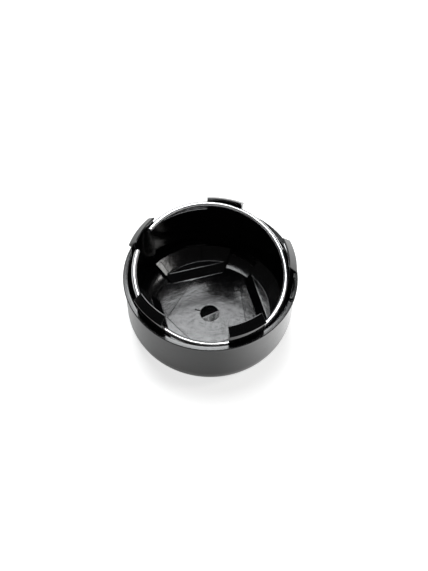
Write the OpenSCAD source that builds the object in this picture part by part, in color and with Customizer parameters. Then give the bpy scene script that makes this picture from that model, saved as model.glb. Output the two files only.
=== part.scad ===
// Snap-in wheel centre cap lying on its front face, open back up, with a round spring wire
// sitting inside the ring of clips. Millimetres, +Z points out of the open back.

/* [Body] */
// outer diameter across the rim that seats on the wheel
rim_d = 60; // [50:0.5:75]
// height of the skirt, front face to rim
skirt_h = 28.1; // [22:0.1:36]
// thickness of the skirt wall at the rim
wall_t = 1.75; // [1.2:0.05:3]
// how much thicker the skirt wall is at its foot than at the rim
wall_draft = 0.35; // [0.1:0.05:0.8]
// thickness of the front wall
floor_t = 2.2; // [1.6:0.1:4]
// radius of the large rounding between skirt and front face
front_round = 11.5; // [6:0.5:13]
// how far the rim stands out past the skirt
lip_out = 0.4; // [0.2:0.1:1]
// height of that rim
lip_h = 1.1; // [0.6:0.1:2]
// width of the slot across the rim
notch_w = 1.36; // [0.6:0.02:3]
// depth of that slot
notch_depth = 1.3; // [0.4:0.1:3]
// turn of that slot about the axis
notch_turn = -20; // [-40:1:40]

/* [Inside of the front wall] */
// width of the curved band between the floor and the skirt wall
band_w = 6.8; // [5:0.1:9]
// radius of that curved band in section
band_round = 8.5; // [7.5:0.1:12]
// small step around the edge of the floor
floor_step = 0.25; // [0.1:0.05:0.6]
// height of the four raised ledges above the floor at their inner edge
ledge_h = 2.3; // [1:0.1:4]
// how much higher the ledges are where they meet the skirt wall
ledge_rise = 3.4; // [1:0.1:5]
// how far the ledges start outside the edge of the floor
ledge_back = 1.0; // [0:0.1:3]
// width of the flat step of a ledge in its middle
ledge_flat = 2.9; // [1:0.1:5]
// run of the sloped face below that step
ledge_slope = 2.6; // [1:0.1:4]
// half of the angle one ledge covers
ledge_half = 34.8; // [24:0.2:40]
// turn of the first ledge about the axis
ledge_turn = 16.5; // [0:0.5:90]
// distance from the axis to each straight joint line of the floor insert
insert_flat = 12.7; // [9:0.1:16]
// width of the fine joint lines
line_w = 0.24; // [0.1:0.02:0.4]
// diameter of the round gate mark in the middle of the floor
gate_d = 6.9; // [4:0.1:9]
// depth of the gate mark at its deepest
gate_depth = 0.9; // [0.3:0.1:1.2]

/* [Clips] */
// how far the clips stand above the rim
clip_h = 8.5; // [6:0.1:12]
// angle covered by one clip
clip_angle = 26.5; // [16:0.5:36]
// turn of the first clip about the axis
clip_turn = 8.3; // [0:0.1:72]
// how far the barb stands out from the stem
barb_out = 0.75; // [0.3:0.05:1.5]
// height of the lead-in slope, clip top to barb
lead_h = 2.7; // [1.5:0.1:4]
// how far the stem stands outside the mouth of the skirt
stem_off = 0.12; // [0:0.02:0.3]
// thickness of the stem at the rim
stem_t = 1.45; // [1:0.05:2.5]
// how far the lip at the clip top reaches in over the wire
hook_in = 0.75; // [0.3:0.05:1.2]

/* [Spring wire] */
// diameter of the round wire
wire_d = 1.8; // [1.2:0.1:2.6]
// angle left open between the two ends of the wire
wire_gap = 19.2; // [6:0.2:40]
// gap between the wire and the inside of the clips
wire_clear = 0.02; // [0.01:0.01:0.3]
// how far the top of the wire stays below the clip tops on its high side
wire_under = 0.82; // [0.5:0.01:4]
// how far the middle of the wire hangs below the rim on its low side
wire_low = 4.38; // [0:0.01:6]

/* [Hidden] */
$fn = 96;
eps = 0.01;
clip_n = 5;
ledge_n = 4;
rim_r = rim_d / 2;
skirt_r = rim_r - lip_out;
mouth_r = rim_r - wall_t;
inner_r = mouth_r - wall_draft;
floor_r = inner_r - band_w;
band_c_r = inner_r - band_round;
band_c_z = floor_t + floor_step + sqrt(band_round * band_round - (floor_r - band_c_r) * (floor_r - band_c_r));
front_c_r = skirt_r - front_round;
stem_out = mouth_r + stem_off;
pad_r = stem_out - stem_t;
hook_r = pad_r - hook_in;
clip_top = skirt_h + clip_h;
barb_r = stem_out + barb_out;
barb_z = clip_top - lead_h;
ledge_in = floor_r + ledge_back;
ledge_z = floor_t + ledge_h;
chord_top = ledge_in - ledge_flat;
chord_bot = chord_top - ledge_slope;
wire_r = wire_d / 2;
ring_r = pad_r - wire_r - wire_clear;
wire_top_z = clip_top - wire_under - wire_r;
wire_low_z = skirt_h - wire_low;
wire_mid_z = (wire_top_z + wire_low_z) / 2;
wire_tilt = asin((wire_top_z - wire_low_z) / (2 * ring_r));
tilt_dir = 110;
gap_mid = 155.8;

module cap_body() {
    color([0.035, 0.036, 0.04])
    difference() {
        union() {
            shell();
            clips();
        }
        rim_notch();
        insert_lines();
        ledge_lines();
        gate_mark();
    }
}

// outer skin less the hollow, with the ledges left standing in it
module shell() {
    difference() {
        rotate_extrude() outer_profile();
        difference() {
            rotate_extrude() hollow_profile();
            ledges();
        }
    }
}

module outer_profile() {
    square([front_c_r, skirt_h]);
    translate([0, front_round]) square([skirt_r, skirt_h - front_round]);
    intersection() {
        translate([front_c_r, front_round]) circle(r = front_round, $fn = 192);
        square([skirt_r, front_round + 1]);
    }
    polygon([
        [skirt_r - 1, skirt_h - lip_h - lip_out],
        [skirt_r, skirt_h - lip_h - lip_out],
        [rim_r, skirt_h - lip_h],
        [rim_r, skirt_h - 0.25],
        [rim_r - 0.25, skirt_h],
        [skirt_r - 1, skirt_h]
    ]);
}

module hollow_profile() {
    translate([0, floor_t]) square([floor_r, skirt_h]);
    intersection() {
        translate([band_c_r, band_c_z]) circle(r = band_round, $fn = 192);
        translate([0, floor_t + floor_step]) square([inner_r, band_c_z - floor_t - floor_step + 1]);
    }
    polygon([
        [0, band_c_z],
        [inner_r, band_c_z],
        [mouth_r, skirt_h - 0.3],
        [mouth_r + 0.2, skirt_h],
        [mouth_r + 0.2, skirt_h + 1],
        [0, skirt_h + 1]
    ]);
}

// raised ledges: a flat step behind a sloped straight face, then a band rising to the skirt wall
module ledges() {
    for (i = [0 : ledge_n - 1]) rotate([0, 0, ledge_turn + i * 360 / ledge_n]) ledge();
}

module ledge() {
    wedge_x = 0.95 / sin(ledge_half);
    far = rim_r + 10;
    intersection() {
        union() {
            rotate([90, 0, 0]) translate([0, 0, -far]) linear_extrude(2 * far) polygon([
                [chord_bot, 0],
                [chord_bot, floor_t],
                [chord_top, ledge_z],
                [rim_r + 2, ledge_z],
                [rim_r + 2, 0]
            ]);
            rotate_extrude() polygon([
                [ledge_in, 0],
                [ledge_in, ledge_z],
                [inner_r, ledge_z + ledge_rise],
                [rim_r + 2, ledge_z + ledge_rise],
                [rim_r + 2, 0]
            ]);
        }
        linear_extrude(ledge_z + ledge_rise + 1) polygon([
            [wedge_x, 0],
            [wedge_x + far * cos(ledge_half), far * sin(ledge_half)],
            [wedge_x + far * cos(ledge_half), -far * sin(ledge_half)]
        ]);
    }
}

module clips() {
    for (i = [0 : clip_n - 1]) rotate([0, 0, clip_turn + i * 360 / clip_n]) clip();
}

// one clip: pad down the inside of the skirt, stem, outward barb with lead-in, inward hook on top
module clip() {
    a = clip_angle / 2;
    far = 2 * rim_r;
    intersection() {
        rotate_extrude() clip_profile();
        linear_extrude(clip_top + 1) polygon([
            [0, 0],
            [far * cos(a), -far * sin(a)],
            [far * cos(a), far * sin(a)]
        ]);
    }
}

module clip_profile() {
    polygon([
        [pad_r, ledge_z + ledge_rise - 0.6],
        [pad_r, clip_top - 1.5],
        [hook_r, clip_top - 0.75],
        [hook_r, clip_top - 0.12],
        [hook_r + 0.12, clip_top],
        [hook_r + 0.34, clip_top],
        [barb_r, barb_z + 0.12],
        [barb_r, barb_z - 0.18],
        [stem_out, barb_z - 0.9],
        [stem_out, skirt_h],
        [mouth_r + 0.3, skirt_h - 0.5],
        [mouth_r + 0.3, ledge_z + ledge_rise + 0.4]
    ]);
}

// slot across the rim, a fine line beside it
module rim_notch() {
    rotate([0, 0, notch_turn]) translate([inner_r - 0.8, -notch_w / 2, skirt_h - notch_depth])
        cube([wall_t + 3, notch_w, notch_depth + 1]);
    rotate([0, 0, -9.2]) translate([mouth_r - 0.5, -0.09, skirt_h - 0.12])
        cube([wall_t + 2, 0.18, 1]);
}

// joint lines of the mould inserts, one facing each clip
module insert_lines() {
    half = insert_flat * tan(180 / clip_n);
    for (i = [0 : clip_n - 1]) rotate([0, 0, clip_turn + i * 360 / clip_n])
        translate([insert_flat - line_w / 2, -half, floor_t - line_w / 2])
            cube([line_w, 2 * half, 1]);
}

// fine lines running up the ledges
module ledge_lines() {
    run = inner_r - ledge_in;
    tilt = atan(ledge_rise / run);
    for (i = [0 : clip_n - 1], s = [-18, 18]) rotate([0, 0, clip_turn + i * 360 / clip_n + s])
        translate([ledge_in, -line_w / 2, ledge_z]) rotate([0, -tilt, 0])
            translate([0.15, 0, -line_w / 2]) cube([run / cos(tilt) - 0.9, line_w, 0.5]);
}

// round recess with two slanted facets, and a short slot beside it
module gate_mark() {
    intersection() {
        translate([0, 0, floor_t - gate_depth]) cylinder(d = gate_d, h = gate_depth + 1);
        rotate([0, 0, 28]) translate([-gate_d, -0.35, floor_t - 0.25]) rotate([90, 0, 90])
            linear_extrude(2 * gate_d) polygon([
                [-gate_d, -gate_d * tan(12)],
                [0, 0],
                [gate_d, -gate_d * tan(9)],
                [gate_d, 3],
                [-gate_d, 3]
            ]);
    }
    rotate([0, 0, 164]) translate([gate_d / 2 + 0.15, -0.22, floor_t - 0.35]) cube([2.2, 0.44, 1]);
}

// open ring of round spring wire, leaning in the cap, caught under the hooks on the high side
module retaining_ring() {
    color([0.86, 0.87, 0.88])
    translate([0, 0, wire_mid_z])
    rotate([0, 0, tilt_dir]) rotate([0, -wire_tilt, 0]) rotate([0, 0, -tilt_dir])
        rotate([0, 0, gap_mid + wire_gap / 2])
            rotate_extrude(angle = 360 - wire_gap) translate([ring_r, 0]) circle(r = wire_r, $fn = 48);
}

cap_body();
retaining_ring();
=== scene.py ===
"""Looks of the wheel centre cap: materials, fine moulding detail, floor, light and camera.

The cap lies on its front face at the origin, open back up; metres, +Z up, camera on the -Y side.
"""

import math

import bmesh
import bpy
from mathutils import Matrix, Vector


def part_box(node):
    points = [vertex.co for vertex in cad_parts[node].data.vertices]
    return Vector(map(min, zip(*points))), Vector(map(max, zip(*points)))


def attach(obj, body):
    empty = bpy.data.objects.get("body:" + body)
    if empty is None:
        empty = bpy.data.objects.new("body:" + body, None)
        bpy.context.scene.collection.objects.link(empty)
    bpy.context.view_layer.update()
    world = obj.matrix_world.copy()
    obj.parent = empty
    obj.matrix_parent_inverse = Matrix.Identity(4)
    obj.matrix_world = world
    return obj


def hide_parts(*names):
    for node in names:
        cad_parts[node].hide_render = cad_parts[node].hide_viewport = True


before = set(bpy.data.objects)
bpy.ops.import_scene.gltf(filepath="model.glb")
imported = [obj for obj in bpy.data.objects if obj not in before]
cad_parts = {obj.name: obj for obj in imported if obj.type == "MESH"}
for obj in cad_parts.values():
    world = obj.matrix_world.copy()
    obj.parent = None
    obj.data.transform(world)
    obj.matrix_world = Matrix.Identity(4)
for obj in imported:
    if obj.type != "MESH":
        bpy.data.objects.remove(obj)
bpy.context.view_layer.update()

MM = 0.001
IMAGE_W = 428
FOCAL_PX = 850.0
SENSOR_W = 36.0


# Camera

def make_camera():
    """The photograph's own viewpoint: from the -Y side, looking down at about 56 degrees."""
    right = Vector((0.99977773, 0.01485429, 0.01496127))
    up = Vector((-0.0206259, 0.83609504, 0.54819674))
    forward = Vector((0.00436597, 0.54838348, -0.83621558))
    data = bpy.data.cameras.new("camera")
    data.sensor_fit = "HORIZONTAL"
    data.sensor_width = SENSOR_W
    data.lens = FOCAL_PX * SENSOR_W / IMAGE_W
    data.clip_start = 0.01
    data.clip_end = 20.0
    cam = bpy.data.objects.new("camera", data)
    bpy.context.scene.collection.objects.link(cam)
    turn = Matrix((right, up, -forward)).transposed().to_4x4()
    cam.matrix_world = Matrix.Translation((0.0, -163.234 * MM, 269.872 * MM)) @ turn
    bpy.context.scene.camera = cam


make_camera()


# Sizes in millimetres, as in the construction

body_low, body_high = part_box("cap_body")
RIM_R = body_high[0] / MM
CLIP_TOP = body_high[2] / MM
SKIRT_H = 28.1
WALL_T = 1.75
WALL_DRAFT = 0.35
FLOOR_T = 2.2
FRONT_ROUND = 11.5
LIP_OUT = 0.4
LIP_H = 1.1
NOTCH_W = 1.36
NOTCH_DEPTH = 1.3
NOTCH_TURN = -20.0
RIM_LINE_TURN = -9.2
BAND_W = 6.8
BAND_ROUND = 8.5
FLOOR_STEP = 0.25
LEDGE_H = 2.3
LEDGE_RISE = 3.4
LEDGE_BACK = 1.0
LEDGE_FLAT = 2.9
LEDGE_SLOPE = 2.6
LEDGE_HALF = 34.8
LEDGE_TURN = 16.5
LEDGE_SIDE = 0.95
LEDGE_LINE_TURN = 18.0
INSERT_FLAT = 12.7
LINE_W = 0.24
INSERT_LIP = 0.02
OUTER_FALL = 1.5        # degrees that the floor falls away outside the insert
GATE_D = 6.9
GATE_DEPTH = 0.9
GATE_RIDGE = 0.25       # depth of the ridge between its two facets
GATE_FALLS = (12, 9)    # slant of the facets, in degrees
GATE_TURN = 28
GATE_SLOT_TURN = 164
CLIP_ANGLE = 26.5
CLIP_TURN = 8.3
BARB_OUT = 0.75
LEAD_H = 2.7
STEM_OFF = 0.12
STEM_T = 1.45
HOOK_IN = 0.75
WIRE_D = 1.8
WIRE_GAP = 19.2
WIRE_CLEAR = 0.02
WIRE_UNDER = 0.82
WIRE_LOW = 4.38
WIRE_TILT_DIR = 110.0
WIRE_GAP_MID = 155.8
CLIP_N = 5
LEDGE_N = 4

SKIRT_R = RIM_R - LIP_OUT
MOUTH_R = RIM_R - WALL_T
INNER_R = MOUTH_R - WALL_DRAFT
FLOOR_R = INNER_R - BAND_W
BAND_C_R = INNER_R - BAND_ROUND
BAND_LOW = FLOOR_T + FLOOR_STEP
BAND_C_Z = BAND_LOW + math.sqrt(BAND_ROUND ** 2 - (FLOOR_R - BAND_C_R) ** 2)
STEM_OUT = MOUTH_R + STEM_OFF
PAD_R = STEM_OUT - STEM_T
HOOK_R = PAD_R - HOOK_IN
BARB_R = STEM_OUT + BARB_OUT
BARB_Z = CLIP_TOP - LEAD_H
LEDGE_IN = FLOOR_R + LEDGE_BACK
LEDGE_Z = FLOOR_T + LEDGE_H
CHORD_TOP = LEDGE_IN - LEDGE_FLAT
CHORD_BOT = CHORD_TOP - LEDGE_SLOPE
WIRE_R = WIRE_D / 2
RING_R = PAD_R - WIRE_R - WIRE_CLEAR

AROUND = 300            # steps of a full turn
ARC_STEP = 12.0         # degrees of turn in one step of a small rounding
BIG_ARC_STEP = 3.5      # the same for the two large roundings
SMOOTH_BELOW = math.radians(32)
SLIVER = 0.002          # edges shorter than this are closed up


# Mesh helpers

def polar(radius, degrees):
    """Point at a distance and direction from the axis."""
    angle = math.radians(degrees)
    return Vector((radius * math.cos(angle), radius * math.sin(angle)))


def arc(centre, radius, start, end, step=BIG_ARC_STEP):
    """Points along an arc, angles in degrees."""
    count = max(2, math.ceil(abs(end - start) / step))
    return [Vector(centre) + polar(radius, start + (end - start) * k / count)
            for k in range(count + 1)]


def rounded(outline):
    """Closed outline of (x, y, radius) corners as points, each corner rounded by its radius."""
    points = []
    count = len(outline)
    for i, (x, y, radius) in enumerate(outline):
        here = Vector((x, y))
        if radius <= 0:
            points.append(here)
            continue
        back = Vector(outline[i - 1][:2]) - here
        ahead = Vector(outline[(i + 1) % count][:2]) - here
        longest = 0.48 * min(back.length, ahead.length)
        back.normalize()
        ahead.normalize()
        half = 0.5 * back.angle(ahead)
        reach = min(radius / math.tan(half), longest)
        radius = reach * math.tan(half)
        centre = here + (back + ahead).normalized() * (radius / math.sin(half))
        first = here + back * reach - centre
        last = here + ahead * reach - centre
        start = math.atan2(first.y, first.x)
        turn = (math.atan2(last.y, last.x) - start + math.pi) % (2 * math.pi) - math.pi
        steps = max(2, math.ceil(abs(math.degrees(turn)) / ARC_STEP))
        for k in range(steps + 1):
            angle = start + turn * k / steps
            points.append(centre + radius * Vector((math.cos(angle), math.sin(angle))))
    return points


def inset(points, distance):
    """The same closed outline moved inwards; the outline runs clockwise."""
    moved = []
    count = len(points)
    for i, here in enumerate(points):
        back = (here - points[i - 1]).normalized()
        ahead = (points[(i + 1) % count] - here).normalized()
        side = Vector((back.y + ahead.y, -back.x - ahead.x))
        length = side.length
        moved.append(here + side * (2 * distance / max(length * length, 1.2)))
    return moved


def build(name, points, faces):
    """A mesh object from points in millimetres, with all faces turned outwards."""
    mesh = bpy.data.meshes.new(name)
    mesh.from_pydata([tuple(Vector(p) * MM) for p in points], [], faces)
    shape = bmesh.new()
    shape.from_mesh(mesh)
    bmesh.ops.recalc_face_normals(shape, faces=shape.faces)
    shape.to_mesh(mesh)
    shape.free()
    obj = bpy.data.objects.new(name, mesh)
    bpy.context.scene.collection.objects.link(obj)
    return obj


def turned(profile, name, steps=AROUND):
    """Full turn of an (r, z) outline whose first and last points lie on the axis."""
    inner = profile[1:-1]
    size = len(inner)
    points = [(0, 0, profile[0].y), (0, 0, profile[-1].y)]
    for k in range(steps):
        spot = polar(1.0, 360.0 * k / steps)
        points += [(spot.x * p.x, spot.y * p.x, p.y) for p in inner]
    faces = []
    for k in range(steps):
        a, b = 2 + k * size, 2 + (k + 1) % steps * size
        faces += [(a + i, a + i + 1, b + i + 1, b + i) for i in range(size - 1)]
        faces += [(0, a, b), (1, b + size - 1, a + size - 1)]
    return build(name, points, faces)


def loft(rings, name, closed=False):
    """Skin over equal rings of points; open ends are capped."""
    size = len(rings[0])
    points = [p for ring in rings for p in ring]
    faces = []
    spans = len(rings) if closed else len(rings) - 1
    for k in range(spans):
        a, b = k * size, (k + 1) % len(rings) * size
        faces += [(a + i, a + (i + 1) % size, b + (i + 1) % size, b + i) for i in range(size)]
    if not closed:
        last = (len(rings) - 1) * size
        faces += [tuple(range(size)), tuple(range(last, last + size))]
    return build(name, points, faces)


def turn_mesh(obj, degrees):
    """Turns an object's mesh about the cap's axis."""
    obj.data.transform(Matrix.Rotation(math.radians(degrees), 4, "Z"))
    return obj


def repeated(obj, count, first):
    """Copies of an object spread evenly about the cap's axis, in its place."""
    copies = []
    for k in range(count):
        copy = bpy.data.objects.new(obj.name, obj.data.copy())
        bpy.context.scene.collection.objects.link(copy)
        copies.append(turn_mesh(copy, first + 360.0 / count * k))
    bpy.data.objects.remove(obj)
    return copies


def combine(base, parts, operation):
    """Joins parts to a base, cuts them out of it or keeps what they share, and removes them."""
    for part in parts:
        step = base.modifiers.new("step", "BOOLEAN")
        step.operation = operation
        step.solver = "MANIFOLD"
        step.object = part
    freeze(base)
    for part in parts:
        bpy.data.objects.remove(part)


def freeze(obj):
    """Makes the result of an object's modifiers its own mesh."""
    graph = bpy.context.evaluated_depsgraph_get()
    mesh = bpy.data.meshes.new_from_object(obj.evaluated_get(graph))
    obj.modifiers.clear()
    obj.data = mesh


def clean(obj):
    """Drops what cutting leaves behind: very short edges, flat slivers and doubled faces."""
    shape = bmesh.new()
    shape.from_mesh(obj.data)
    bmesh.ops.remove_doubles(shape, verts=shape.verts, dist=SLIVER * MM)
    bmesh.ops.dissolve_degenerate(shape, edges=shape.edges, dist=SLIVER * MM)
    bmesh.ops.triangulate(shape, faces=[f for f in shape.faces if len(f.verts) > 4])
    bmesh.ops.dissolve_degenerate(shape, edges=shape.edges, dist=SLIVER * MM)
    first = {}
    doubled = set()
    for face in shape.faces:
        corners = frozenset(face.verts)
        if corners in first:
            doubled.update((face, first[corners]))
        first[corners] = face
    bmesh.ops.delete(shape, geom=list(doubled), context="FACES_ONLY")
    loose = [e for e in shape.edges if not e.link_faces]
    bmesh.ops.delete(shape, geom=loose, context="EDGES")
    shape.to_mesh(obj.data)
    shape.free()


def smooth(obj):
    """Smooth shading between faces that meet at a small angle, led by the larger faces."""
    obj.data.polygons.foreach_set("use_smooth", [True] * len(obj.data.polygons))
    obj.data.set_sharp_from_angle(angle=SMOOTH_BELOW)
    lead = obj.modifiers.new("lead", "WEIGHTED_NORMAL")
    lead.keep_sharp = True
    lead.weight = 80
    freeze(obj)


# Cap body

def shell():
    """Skirt, front wall and rim as one full turn."""
    corners = [(0, 0, 0)]
    corners += [(p.x, p.y, 0) for p in arc((SKIRT_R - FRONT_ROUND, FRONT_ROUND), FRONT_ROUND, -90, 0)]
    corners += [
        (SKIRT_R, SKIRT_H - LIP_H - LIP_OUT, 0.3),
        (RIM_R, SKIRT_H - LIP_H, 0.25),
        (RIM_R, SKIRT_H, 0.3),
        (MOUTH_R, SKIRT_H, 0.3),
    ]
    start = -math.degrees(math.acos((FLOOR_R - BAND_C_R) / BAND_ROUND))
    band = arc((BAND_C_R, BAND_C_Z), BAND_ROUND, 0, start)
    corners += [(p.x, p.y, 0) for p in band[:-1]]
    corners += [(FLOOR_R, BAND_LOW, 0.1), (FLOOR_R, FLOOR_T, 0.08), (0, FLOOR_T, 0)]
    return turned(rounded(corners), "cap_shell")


def core():
    """Space inside the outer skin, which keeps the ledges from reaching through it."""
    margin = 0.6
    front = arc((SKIRT_R - FRONT_ROUND, FRONT_ROUND), FRONT_ROUND - margin, -90, 0)
    outline = [Vector((0, margin))] + front + [Vector((SKIRT_R - margin, SKIRT_H)), Vector((0, SKIRT_H))]
    return turned(outline, "core", AROUND // 2)


def soft_max(a, b, radius):
    """The larger of two heights, with the corner between them filled."""
    if radius <= 0 or abs(a - b) >= radius:
        return max(a, b)
    return max(a, b) + (radius - abs(a - b)) ** 2 / (4 * radius)


def soft_min(a, b, radius):
    """The smaller of two heights, with the corner between them rounded off."""
    return -soft_max(-a, -b, radius)


def ledge_height(x, y):
    """Height of a ledge that faces +X: sloped face, flat step and rising band, corners filled."""
    slope = FLOOR_T + (x - CHORD_BOT) * LEDGE_H / LEDGE_SLOPE
    step = soft_min(slope, LEDGE_Z, 0.22)
    step = soft_max(step, FLOOR_T - 0.1, 0.3)
    radius = math.hypot(x, y)
    rise = LEDGE_Z + (radius - LEDGE_IN) * LEDGE_RISE / (INNER_R - LEDGE_IN)
    inner_wall = LEDGE_Z + (radius - LEDGE_IN) * 9.0
    band = soft_min(rise, inner_wall, 0.15)
    return soft_max(step, band, 0.3)


def ledge():
    """One ledge as a height over a fan of lines that runs from its foot to the skirt wall."""
    edge = math.radians(LEDGE_HALF)
    apex = LEDGE_SIDE / math.sin(edge)
    back_r = INNER_R + 0.5
    edge_round = 0.16
    wide, tight = 0.35, 0.22
    sides = [edge_round * s for s in (0.0, 0.08, 0.3, 0.6, 1.0, 1.6)]
    columns = [(-1, d) for d in sides] + [(0, k / 40.0) for k in range(-38, 39)]
    columns += [(1, d) for d in reversed(sides)]

    def reach(radius, angle):
        """Distance from the fan's apex, along a line, to a circle about the cap's axis."""
        across = apex * math.cos(angle)
        return -across + math.sqrt(across * across + radius * radius - apex * apex)

    grid = []
    for side, value in columns:
        angle = side * edge if side else value * edge * 0.985
        foot = (CHORD_BOT - apex) / math.cos(angle)
        top = (CHORD_TOP - apex) / math.cos(angle)
        step = reach(LEDGE_IN, angle)
        first, second = min(top, step), max(top, step)
        spots = [foot + t for t in (-wide, -0.2, -0.1, 0.0, 0.1, 0.2, wide)]
        spots += [foot + wide + (first - foot - 2 * wide) * k / 4 for k in range(1, 5)]
        spots += [first + t for t in (-tight, -0.1, 0.0, 0.1, tight)]
        gap = max(second - first, 0.5)
        spots += [first + tight + (gap - 2 * tight) * k / 5 for k in range(1, 6)]
        end = reach(back_r, angle)
        near = first + gap
        spots += [near + t for t in (-0.1, 0.0, 0.1, tight)]
        spots += [near + tight + (end - near - tight) * k / 14 for k in range(1, 15)]
        line = []
        for t in spots:
            x, y = apex + t * math.cos(angle), t * math.sin(angle)
            drop = 0.0
            if side:
                x += value * math.sin(edge)
                y -= side * value * math.cos(edge)
                short = max(edge_round - value, 0.0)
                drop = edge_round - math.sqrt(edge_round ** 2 - short ** 2)
            line.append(Vector((x, y, ledge_height(x, y) - drop)))
        grid.append(line)

    rows, cols = len(grid[0]), len(grid)
    base_z = 0.7
    points = [p for line in grid for p in line]
    points += [Vector((p.x, p.y, base_z)) for line in grid for p in line]
    under = rows * cols
    faces = []
    for c in range(cols - 1):
        for r in range(rows - 1):
            a = c * rows + r
            faces.append((a, a + 1, a + rows + 1, a + rows))
            faces.append((under + a, under + a + rows, under + a + rows + 1, under + a + 1))
    rim = [r for r in range(rows)] + [c * rows + rows - 1 for c in range(1, cols)]
    rim += [(cols - 1) * rows + r for r in range(rows - 2, -1, -1)]
    rim += [c * rows for c in range(cols - 2, 0, -1)]
    for i, a in enumerate(rim):
        b = rim[(i + 1) % len(rim)]
        faces.append((a, b, under + b, under + a))
    return build("ledge", points, faces)


def clip():
    """One clip swept about the axis, its two end faces with a small rounding."""
    outline = rounded([
        (PAD_R, 6.2, 0), (PAD_R, CLIP_TOP - 1.5, 0.4),
        (HOOK_R, CLIP_TOP - 0.75, 0.15), (HOOK_R, CLIP_TOP, 0.16), (HOOK_R + 0.36, CLIP_TOP, 0.2),
        (BARB_R, BARB_Z + 0.1, 0.16), (BARB_R, BARB_Z - 0.18, 0.12), (STEM_OUT, BARB_Z - 0.9, 0.3),
        (STEM_OUT, SKIRT_H - 0.8, 0), (MOUTH_R + 0.4, SKIRT_H - 1.2, 0), (MOUTH_R + 0.4, 10.0, 0),
        (PAD_R + 0.5, 6.2, 0),
    ])
    end_round = 0.12
    half = CLIP_ANGLE / 2
    marks = [(-half + math.degrees(end_round * s / STEM_OUT), s) for s in (0.0, 0.1, 0.35, 0.65, 1.0)]
    marks += [(half * k / 11.0, 1.0) for k in range(-10, 11)]
    marks += [(-angle, s) for angle, s in reversed(marks[:5])]
    rings = []
    for angle, s in marks:
        short = end_round * (1.0 - s)
        ring = inset(outline, end_round - math.sqrt(end_round ** 2 - short ** 2))
        spot = polar(1.0, angle)
        rings.append([Vector((spot.x * p.x, spot.y * p.x, p.y)) for p in ring])
    return loft(rings, "clip")


def groove(points, width, depth, name, overlap=0.3):
    """Cutter with a V section that follows a straight line between two surface points."""
    start, end = Vector(points[0]), Vector(points[1])
    along = (end - start).normalized()
    across = along.cross(Vector((0, 0, 1))).normalized() * (width / 2)
    up = across.cross(along).normalized()
    wide = 1.0 + overlap / depth
    rings = []
    for spot in (start, end):
        top = spot + up * overlap
        rings.append([spot - up * depth, top + across * wide, top - across * wide])
    return loft(rings, name)


def insert_groove():
    """The five joint lines of the floor insert as one closed V groove."""
    half, depth, over = LINE_W / 2, LINE_W / 2, 0.3
    wide = half * (1 + over / depth)
    rings = []
    for k in range(CLIP_N):
        turn = CLIP_TURN + (k + 0.5) * 360.0 / CLIP_N
        stretch = 1.0 / math.cos(math.pi / CLIP_N)
        ring = []
        for flat, z in ((INSERT_FLAT, FLOOR_T - depth), (INSERT_FLAT + wide, FLOOR_T + over),
                        (INSERT_FLAT - wide, FLOOR_T + over)):
            spot = polar(flat * stretch, turn)
            ring.append(Vector((spot.x, spot.y, z)))
        rings.append(ring)
    return loft(rings, "insert_groove", closed=True)


def outer_floor():
    """Cutter that lowers the floor a little outside the insert, more towards its edge."""
    far = FLOOR_R + 2.0
    low = FLOOR_T - INSERT_LIP
    fall = (far - INSERT_FLAT) * math.tan(math.radians(OUTER_FALL))
    stretch = 1.0 / math.cos(math.pi / CLIP_N)
    rings = []
    for k in range(CLIP_N):
        spot = polar(stretch, CLIP_TURN + (k + 0.5) * 360.0 / CLIP_N)
        section = ((INSERT_FLAT, low), (far, low - fall), (far, FLOOR_T + 0.5), (INSERT_FLAT, FLOOR_T + 0.5))
        rings.append([Vector((spot.x * flat, spot.y * flat, z)) for flat, z in section])
    cutter = loft(rings, "outer_floor", closed=True)
    reach = turned([Vector((0, 1.0)), Vector((FLOOR_R - 0.02, 1.0)),
                    Vector((FLOOR_R - 0.02, FLOOR_T + 1.0)), Vector((0, FLOOR_T + 1.0))], "reach")
    combine(cutter, [reach], "INTERSECT")
    return cutter


def ledge_groove():
    """Fine line that runs up the band of a ledge."""
    run = INNER_R - LEDGE_IN
    ends = [(LEDGE_IN + run * share, 0.0, LEDGE_Z + LEDGE_RISE * share) for share in (0.04, 0.86)]
    return groove(ends, LINE_W * 1.15, LINE_W / 2, "ledge_groove")


def rim_slot():
    """Cutter of the slot across the rim, with flared upper edges and rounded lower ones."""
    half, foot, flare = NOTCH_W / 2, SKIRT_H - NOTCH_DEPTH, 0.14
    outline = rounded([
        (-half, foot, 0.2), (-half, SKIRT_H - flare, 0.1), (-half - flare * 2, SKIRT_H + flare, 0),
        (half + flare * 2, SKIRT_H + flare, 0), (half, SKIRT_H - flare, 0.1), (half, foot, 0.2),
    ])
    rings = [[Vector((x, p.x, p.y)) for p in outline] for x in (INNER_R - 0.8, RIM_R + 1.0)]
    return turn_mesh(loft(rings, "rim_slot"), NOTCH_TURN)


def rim_line():
    """Fine line across the rim beside the slot."""
    line = groove([(MOUTH_R - 0.6, 0, SKIRT_H), (RIM_R + 0.6, 0, SKIRT_H)], 0.2, 0.1, "rim_line")
    return turn_mesh(line, RIM_LINE_TURN)


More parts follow.
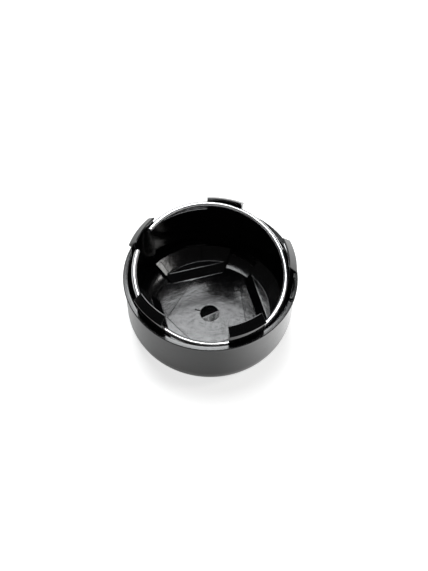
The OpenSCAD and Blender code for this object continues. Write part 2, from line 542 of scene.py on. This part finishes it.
def gate_cut():
    """Round recess whose bottom is two slanted facets that meet in a ridge."""
    rings = []
    ridge_z = FLOOR_T - GATE_RIDGE
    for radius, z in ((GATE_D / 2, FLOOR_T - GATE_DEPTH), (GATE_D / 2, FLOOR_T - 0.1),
                      (GATE_D / 2 + 0.12, FLOOR_T + 0.02), (GATE_D / 2 + 0.12, FLOOR_T + 1.0)):
        rings.append([Vector((*polar(radius, 3.75 * k), z)) for k in range(96)])
    round_cut = loft(rings, "gate_cut")
    low_a, low_b = (ridge_z - GATE_D * math.tan(math.radians(fall)) for fall in GATE_FALLS)
    roof = [(-GATE_D, low_a), (-0.3, ridge_z - 0.05), (0.0, ridge_z), (0.3, ridge_z - 0.04),
            (GATE_D, low_b), (GATE_D, FLOOR_T + 3), (-GATE_D, FLOOR_T + 3)]
    prism = loft([[Vector((x, y - 0.35, z)) for y, z in roof] for x in (-GATE_D, GATE_D)], "roof")
    combine(round_cut, [turn_mesh(prism, GATE_TURN)], "INTERSECT")
    return round_cut


def gate_slot():
    """Short slot that runs out from the gate mark."""
    near, far = GATE_D / 2 - 0.2, GATE_D / 2 + 2.3
    slot = groove([(near, 0, FLOOR_T), (far, 0, FLOOR_T)], 0.5, 0.3, "gate_slot")
    return turn_mesh(slot, GATE_SLOT_TURN)


def cap_body():
    """The whole moulding: shell, ledges and clips as one closed mesh, then its cut marks."""
    body = shell()
    combine(body, [outer_floor()], "DIFFERENCE")
    ledges = repeated(ledge(), LEDGE_N, LEDGE_TURN)
    for part in ledges:
        combine(part, [core()], "INTERSECT")
    clips = repeated(clip(), CLIP_N, CLIP_TURN)
    combine(body, ledges + clips, "UNION")
    cuts = [rim_slot(), rim_line(), insert_groove(), gate_cut(), gate_slot()]
    for side in (-LEDGE_LINE_TURN, LEDGE_LINE_TURN):
        cuts += repeated(ledge_groove(), CLIP_N, CLIP_TURN + side)
    combine(body, cuts, "DIFFERENCE")
    body.name = "cap_body_detailed"
    clean(body)
    smooth(body)
    return body


def spring_ring():
    """Open wire ring, tilted as it sits in the clips, its cut ends slightly rounded."""
    top = CLIP_TOP - WIRE_UNDER - WIRE_R
    low = SKIRT_H - WIRE_LOW
    tilt = math.asin((top - low) / (2 * RING_R))
    lean = Matrix.Rotation(math.radians(WIRE_TILT_DIR), 4, "Z") @ Matrix.Rotation(-tilt, 4, "Y")
    lean = Matrix.Translation((0, 0, (top + low) / 2)) @ lean @ Matrix.Rotation(
        math.radians(-WIRE_TILT_DIR), 4, "Z")
    start = WIRE_GAP_MID + WIRE_GAP / 2
    span = 360.0 - WIRE_GAP
    edge = 0.16
    marks = []
    for s in (0.0, 0.15, 0.5, 1.0):
        short = edge * (1 - s)
        marks.append((math.degrees(edge * s / RING_R), WIRE_R - edge + math.sqrt(edge ** 2 - short ** 2)))
    steps = 260
    rows = [(start + a, r) for a, r in marks]
    rows += [(start + span * k / steps, WIRE_R) for k in range(1, steps)]
    rows += [(start + span - a, r) for a, r in reversed(marks)]
    rings = []
    for angle, radius in rows:
        spot = polar(1.0, angle)
        ring = []
        for k in range(36):
            across = polar(radius, 10.0 * k)
            ring.append(lean @ Vector((spot.x * (RING_R + across.x), spot.y * (RING_R + across.x), across.y)))
        rings.append(ring)
    ring = loft(rings, "spring_ring")
    smooth(ring)
    return ring


# Node helpers

class Nodes:
    """Short calls for building a node tree."""

    def __init__(self, tree):
        self.tree = tree
        self.tree.nodes.clear()

    def add(self, kind, **settings):
        node = self.tree.nodes.new(kind)
        inputs = settings.pop("inputs", {})
        for key, value in settings.items():
            setattr(node, key, value)
        for key, value in inputs.items():
            self.set(node, key, value)
        return node

    def set(self, node, key, value):
        if isinstance(value, bpy.types.NodeSocket):
            self.tree.links.new(value, node.inputs[key])
        elif isinstance(value, bpy.types.Node):
            self.tree.links.new(value.outputs[0], node.inputs[key])
        else:
            node.inputs[key].default_value = value

    def math(self, operation, a, b=None, clamp=False):
        node = self.add("ShaderNodeMath", operation=operation, use_clamp=clamp)
        self.set(node, 0, a)
        if b is not None:
            self.set(node, 1, b)
        return node.outputs[0]

    def map(self, value, from_min, from_max, to_min=0.0, to_max=1.0, smooth=False):
        node = self.add("ShaderNodeMapRange", clamp=True)
        if smooth:
            node.interpolation_type = "SMOOTHSTEP"
        for key, item in (("Value", value), ("From Min", from_min), ("From Max", from_max),
                          ("To Min", to_min), ("To Max", to_max)):
            self.set(node, key, item)
        return node.outputs["Result"]

    def total(self, pairs):
        """Sum of values, each times its weight."""
        result = 0.0
        for value, weight in pairs:
            result = self.math("ADD", result, self.math("MULTIPLY", value, weight))
        return result

    def polar(self, x, y):
        """Distance from the axis, and direction about it."""
        square = self.math("ADD", self.math("MULTIPLY", x, x), self.math("MULTIPLY", y, y))
        return self.math("SQRT", square), self.math("ARCTAN2", y, x)

    def noise(self, vector, scale, detail=3.0, rough=0.55, distortion=0.0):
        node = self.add("ShaderNodeTexNoise", inputs={
            "Vector": vector, "Scale": scale, "Detail": detail,
            "Roughness": rough, "Distortion": distortion})
        return node.outputs["Fac"]

    def mix(self, factor, a, b):
        node = self.add("ShaderNodeMix", data_type="RGBA")
        self.set(node, 0, factor)
        self.set(node, 6, a)
        self.set(node, 7, b)
        return node.outputs[2]

    def mixf(self, factor, a, b):
        node = self.add("ShaderNodeMix", data_type="FLOAT")
        self.set(node, 0, factor)
        self.set(node, 2, a)
        self.set(node, 3, b)
        return node.outputs[0]


def new_material(name):
    """An empty material and the calls that build its nodes."""
    mat = bpy.data.materials.new(name)
    mat.use_nodes = True
    return mat, Nodes(mat.node_tree)


# Floor, world and lights

FLOOR_SIZE = 3.0
LIGHT_DISTANCE = 0.9
PAPER = (0.84, 0.84, 0.83, 1)
WHITE = (1, 1, 1, 1)
SEEN_LIFT = 0.72        # added where the camera sees the floor, so that the paper comes out white
MIRROR_LIFT = 0.30      # the same in reflections
PAINTED_POOL_LIFT = 1.10        # painted pool of light: extra glow seen only in reflections, brighter towards +X, beyond what the lamps give


def make_floor():
    """White paper. It keeps the cap's shadow, and only rays that look at it see it lifted."""
    mesh = bpy.data.meshes.new("floor")
    mesh.from_pydata([(-FLOOR_SIZE, -FLOOR_SIZE, 0), (FLOOR_SIZE, -FLOOR_SIZE, 0),
                      (FLOOR_SIZE, FLOOR_SIZE, 0), (-FLOOR_SIZE, FLOOR_SIZE, 0)], [], [(0, 1, 2, 3)])
    floor = bpy.data.objects.new("floor", mesh)
    bpy.context.scene.collection.objects.link(floor)
    mat, n = new_material("floor_paper")
    place = n.add("ShaderNodeTexCoord").outputs["Object"]
    x = n.add("ShaderNodeSeparateXYZ", inputs={0: place}).outputs["X"]
    away = n.add("ShaderNodeVectorMath", operation="LENGTH", inputs={0: place}).outputs["Value"]
    diffuse = n.add("ShaderNodeBsdfDiffuse", inputs={"Color": PAPER})
    path = n.add("ShaderNodeLightPath")
    polished = n.math("MAXIMUM", path.outputs["Is Glossy Ray"], path.outputs["Is Transmission Ray"])
    # painted pool of light: reflections see the paper glow brighter towards +X, standing in for window light
    mirrored_with_painted_pool = n.map(x, 0.0, 50 * MM, MIRROR_LIFT, MIRROR_LIFT + PAINTED_POOL_LIFT, smooth=True)
    seen = n.map(away, 0.08, 0.4, SEEN_LIFT, 1.0, smooth=True)
    lift = n.math("ADD", n.math("MULTIPLY", path.outputs["Is Camera Ray"], seen),
                  n.math("MULTIPLY", polished, mirrored_with_painted_pool))
    glow = n.add("ShaderNodeEmission", inputs={"Color": WHITE, "Strength": lift})
    both = n.add("ShaderNodeAddShader", inputs={0: diffuse, 1: glow})
    n.add("ShaderNodeOutputMaterial", inputs={"Surface": both})
    mesh.materials.append(mat)


def make_world():
    """White at the horizon, dim overhead, so that polished faces keep dark reflections."""
    world = bpy.data.worlds.new("studio")
    bpy.context.scene.world = world
    world.use_nodes = True
    n = Nodes(world.node_tree)
    coord = n.add("ShaderNodeTexCoord")
    split = n.add("ShaderNodeSeparateXYZ", inputs={0: coord.outputs["Generated"]})
    lift = n.map(split.outputs["Z"], 0.03, 0.24, 1.0, 0.04, smooth=True)
    lift = n.math("MAXIMUM", lift, n.add("ShaderNodeLightPath").outputs["Is Camera Ray"])
    back = n.add("ShaderNodeBackground", inputs={"Color": WHITE, "Strength": lift})
    n.add("ShaderNodeOutputWorld", inputs={"Surface": back})


def make_light(name, azimuth, elevation, size, radiance, colour):
    """A rectangular soft light facing the cap. Radiance 1 looks as bright as white paper."""
    width, height = size
    data = bpy.data.lights.new(name, "AREA")
    data.shape = "RECTANGLE"
    data.size = width
    data.size_y = height
    data.energy = radiance * math.pi * width * height
    data.color = colour
    light = bpy.data.objects.new(name, data)
    bpy.context.scene.collection.objects.link(light)
    az, el = math.radians(azimuth), math.radians(elevation)
    place = Vector((math.cos(el) * math.cos(az), math.cos(el) * math.sin(az), math.sin(el)))
    light.location = place * LIGHT_DISTANCE
    light.rotation_euler = place.to_track_quat("Z", "Y").to_euler()


make_floor()
make_world()
make_light("light_back", 104, 73.4, (0.38, 0.52), 9.2, (0.965, 0.985, 1.0))
make_light("light_right", -5, 50, (0.19, 0.15), 10.0, (1.0, 0.99, 0.97))


# Materials

def black_plastic():
    """Moulded black: polished walls, a satin floor with flow marks, a finely scuffed outside."""
    mat, n = new_material("body_black_plastic")
    place = n.add("ShaderNodeTexCoord").outputs["Object"]
    split = n.add("ShaderNodeSeparateXYZ", inputs={0: place})
    x, y, z = split.outputs
    radius, angle = n.polar(x, y)

    # where each finish is
    above = n.map(z, 1.2 * MM, 1.9 * MM)
    below = n.map(z, 8.6 * MM, 7.4 * MM, smooth=True)
    within = n.map(radius, (INNER_R + 0.3) * MM, (INNER_R - 0.3) * MM)
    inside = n.math("MULTIPLY", n.math("MULTIPLY", above, below), within)
    outside = n.map(radius, (SKIRT_R - 0.8) * MM, (SKIRT_R - 0.4) * MM)
    rim_top = n.math("MULTIPLY", n.map(z, (SKIRT_H - 0.3) * MM, (SKIRT_H - 0.1) * MM),
                     n.map(z, (SKIRT_H + 0.3) * MM, (SKIRT_H + 0.1) * MM))
    edge = n.math("MULTIPLY", n.map(radius, (RIM_R - 0.65) * MM, (RIM_R - 0.4) * MM),
                  n.map(z, (SKIRT_H - 0.8) * MM, (SKIRT_H - 0.5) * MM))

    # flow of the plastic, polish, grain, scuffs drawn out around the skirt, chips on its edge
    swirl = n.noise(place, 110.0, 4.0, 0.5, 1.8)
    flow = n.noise(place, 300.0, 5.0, 0.62, 2.6)
    smudge = n.noise(place, 260.0, 4.0, 0.6, 0.8)
    grain = n.noise(place, 3200.0, 2.0, 0.5)
    peel = n.noise(place, 620.0, 3.0, 0.5)
    around = n.add("ShaderNodeCombineXYZ", inputs={
        0: n.math("MULTIPLY", angle, 0.030),
        1: n.math("MULTIPLY", radius, 6.0),
        2: n.math("MULTIPLY", z, 7.0)})
    scuff = n.map(n.noise(around, 900.0, 4.0, 0.62), 0.52, 0.78)
    worn = n.math("MULTIPLY", n.math("MAXIMUM", outside, rim_top), scuff)
    chips = n.math("MULTIPLY", edge, n.map(n.noise(place, 1500.0, 3.0, 0.6), 0.60, 0.66))

    base = n.mix(n.map(smudge, 0.3, 0.7), (0.0010, 0.0010, 0.0013, 1), (0.0024, 0.0025, 0.0030, 1))
    base = n.mix(n.math("MULTIPLY", worn, 0.5), base, (0.016, 0.016, 0.017, 1))
    base = n.mix(chips, base, (0.060, 0.060, 0.062, 1))

    polish = n.mixf(outside, n.mixf(inside, 0.02, 0.09), 0.14)
    rough = n.math("ADD", polish, n.total([
        (smudge, 0.12),
        (inside, n.map(flow, 0.50, 0.72, 0.0, 0.10)),
        (worn, 0.14),
        (chips, 0.25)]), clamp=True)

    # heights in millimetres
    height = n.total([
        (grain, n.mixf(outside, 0.0012, 0.0034)),
        (peel, n.mixf(outside, n.mixf(inside, 0.0016, 0.009), 0.008)),
        (swirl, n.math("MULTIPLY", inside, 0.065)),
        (flow, n.math("MULTIPLY", inside, 0.045)),
        (worn, 0.0025),
        (chips, -0.012)])
    bump = n.add("ShaderNodeBump", inputs={"Strength": 1.0, "Distance": MM, "Height": height})
    shader = n.add("ShaderNodeBsdfPrincipled", inputs={
        "Base Color": base, "IOR": 1.58, "Roughness": rough, "Normal": bump})
    n.add("ShaderNodeOutputMaterial", inputs={"Surface": shader})
    return mat


def spring_steel():
    """Bright drawn wire with fine lines along it and faint handling marks."""
    mat, n = new_material("spring_wire_steel")
    place = n.add("ShaderNodeTexCoord").outputs["Object"]
    split = n.add("ShaderNodeSeparateXYZ", inputs={0: place})
    x, y, z = split.outputs
    radius, angle = n.polar(x, y)
    drawn = n.add("ShaderNodeCombineXYZ", inputs={
        0: n.math("MULTIPLY", angle, 0.0006), 1: radius, 2: z})
    lines = n.noise(drawn, 9000.0, 3.0, 0.6)
    marks = n.noise(place, 420.0, 3.0, 0.55)
    base = n.mix(n.map(marks, 0.35, 0.7), (0.80, 0.80, 0.81, 1), (0.90, 0.90, 0.89, 1))
    rough = n.math("ADD", n.map(marks, 0.3, 0.7, 0.25, 0.34), n.math("MULTIPLY", lines, 0.06))
    bump = n.add("ShaderNodeBump", inputs={
        "Strength": 1.0, "Distance": MM, "Height": n.math("MULTIPLY", lines, 0.0004)})
    shader = n.add("ShaderNodeBsdfPrincipled", inputs={
        "Base Color": base, "Metallic": 1.0, "Roughness": rough, "Normal": bump})
    n.add("ShaderNodeOutputMaterial", inputs={"Surface": shader})
    return mat


def stand_for(piece, node, material):
    """Shows a piece in place of a CAD node, with its finish."""
    piece.data.materials.clear()
    piece.data.materials.append(material)
    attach(piece, "root")
    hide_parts(node)


stand_for(cap_body(), "cap_body", black_plastic())
stand_for(spring_ring(), "retaining_ring", spring_steel())

bpy.context.scene.view_settings.view_transform = "Standard"
